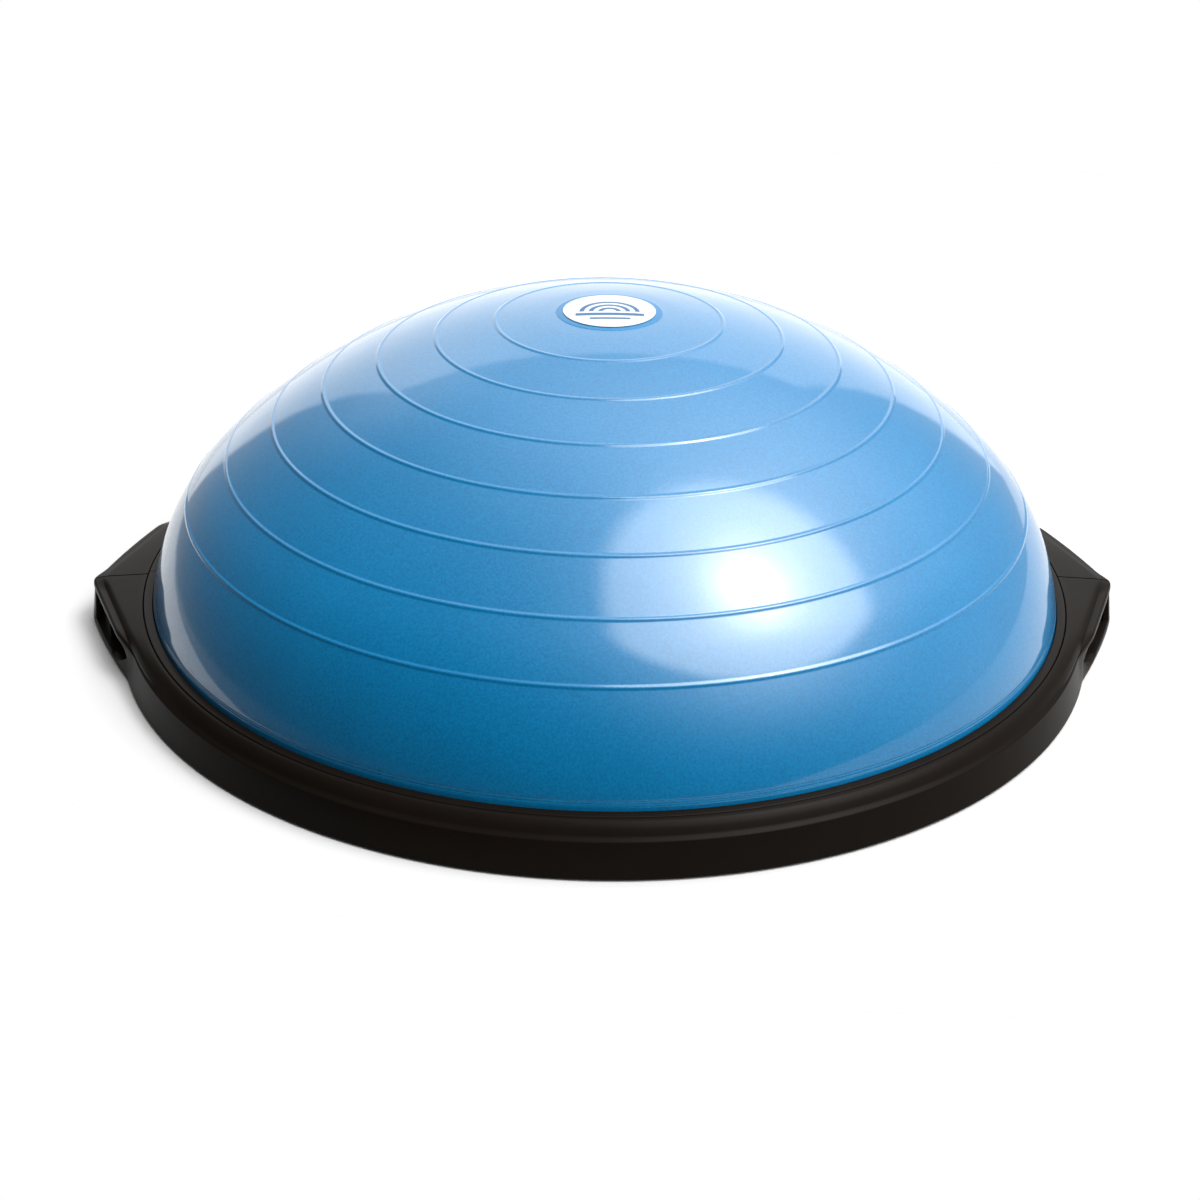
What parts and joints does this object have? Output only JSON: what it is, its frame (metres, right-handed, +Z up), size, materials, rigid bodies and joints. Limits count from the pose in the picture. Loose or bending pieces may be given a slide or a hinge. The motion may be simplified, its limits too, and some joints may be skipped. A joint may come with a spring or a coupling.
{
  "type": "balance dome trainer",
  "caption": "Half-dome air cushion with raised rings, clamped to a rigid round platform with a grip ear at each side; used either way up for balance exercise.",
  "frame": {"origin": "on the floor, under the centre of the round platform and the middle of the overall box", "axes": "+Z up through the crown, +X towards the right-hand ear, -Y towards the front"},
  "size_m": [0.6986, 0.65, 0.2246],
  "materials": {
    "blue_vinyl": "glossy soft vinyl, fine pebble grain",
    "label_print": "white printed film",
    "rim_black": "semi-matte moulded, warm black",
    "ring_black": "semi-matte moulded",
    "deck_black": "matte moulded",
    "soft_rubber": "matte",
    "zinc_steel": "zinc plated",
    "plug_white": "satin"
  },
  "bodies": {
    "base": {"deck_plate": "deck_black", "front_rim": "rim_black", "rear_rim": "rim_black", "clamp_ring": "ring_black", "bead_seal": "soft_rubber", "valve_seat": "soft_rubber", "left_ear_joiner": "zinc_steel", "right_ear_joiner": "zinc_steel", "foot_pad_1": "soft_rubber", "foot_pad_2": "soft_rubber", "foot_pad_3": "soft_rubber", "foot_pad_4": "soft_rubber", "foot_pad_5": "soft_rubber", "foot_pad_6": "soft_rubber", "foot_pad_7": "soft_rubber", "foot_pad_8": "soft_rubber", "clamp_screw_1": "zinc_steel", "clamp_screw_2": "zinc_steel", "clamp_screw_3": "zinc_steel", "clamp_screw_4": "zinc_steel", "clamp_screw_5": "zinc_steel", "clamp_screw_6": "zinc_steel", "clamp_screw_7": "zinc_steel", "clamp_screw_8": "zinc_steel", "clamp_screw_9": "zinc_steel", "clamp_screw_10": "zinc_steel", "clamp_screw_11": "zinc_steel", "clamp_screw_12": "zinc_steel", "rim_screw_1": "zinc_steel", "rim_screw_2": "zinc_steel", "rim_screw_3": "zinc_steel", "rim_screw_4": "zinc_steel", "rim_screw_5": "zinc_steel", "rim_screw_6": "zinc_steel", "rim_screw_7": "zinc_steel", "rim_screw_8": "zinc_steel", "rim_screw_9": "zinc_steel", "rim_screw_10": "zinc_steel", "ear_screw_1": "zinc_steel", "ear_screw_2": "zinc_steel", "ear_screw_3": "zinc_steel", "ear_screw_4": "zinc_steel"},
    "dome": {"dome_bladder": "blue_vinyl", "crown_label": "label_print"},
    "plug": {"air_plug": "plug_white"}
  },
  "joints": [
    {"name": "dome_press", "type": "slide", "parent": "base", "child": "dome", "axis": [0, 0, -1], "range_m": [0, 0.04], "stiffness_N_per_m": 16000, "springref_m": -0.003, "deforming": ["dome_bladder"]},
    {"name": "plug_pull", "type": "slide", "parent": "base", "child": "plug", "axis": [0, 0, -1], "range_m": [0, 0.03]}
  ]
}
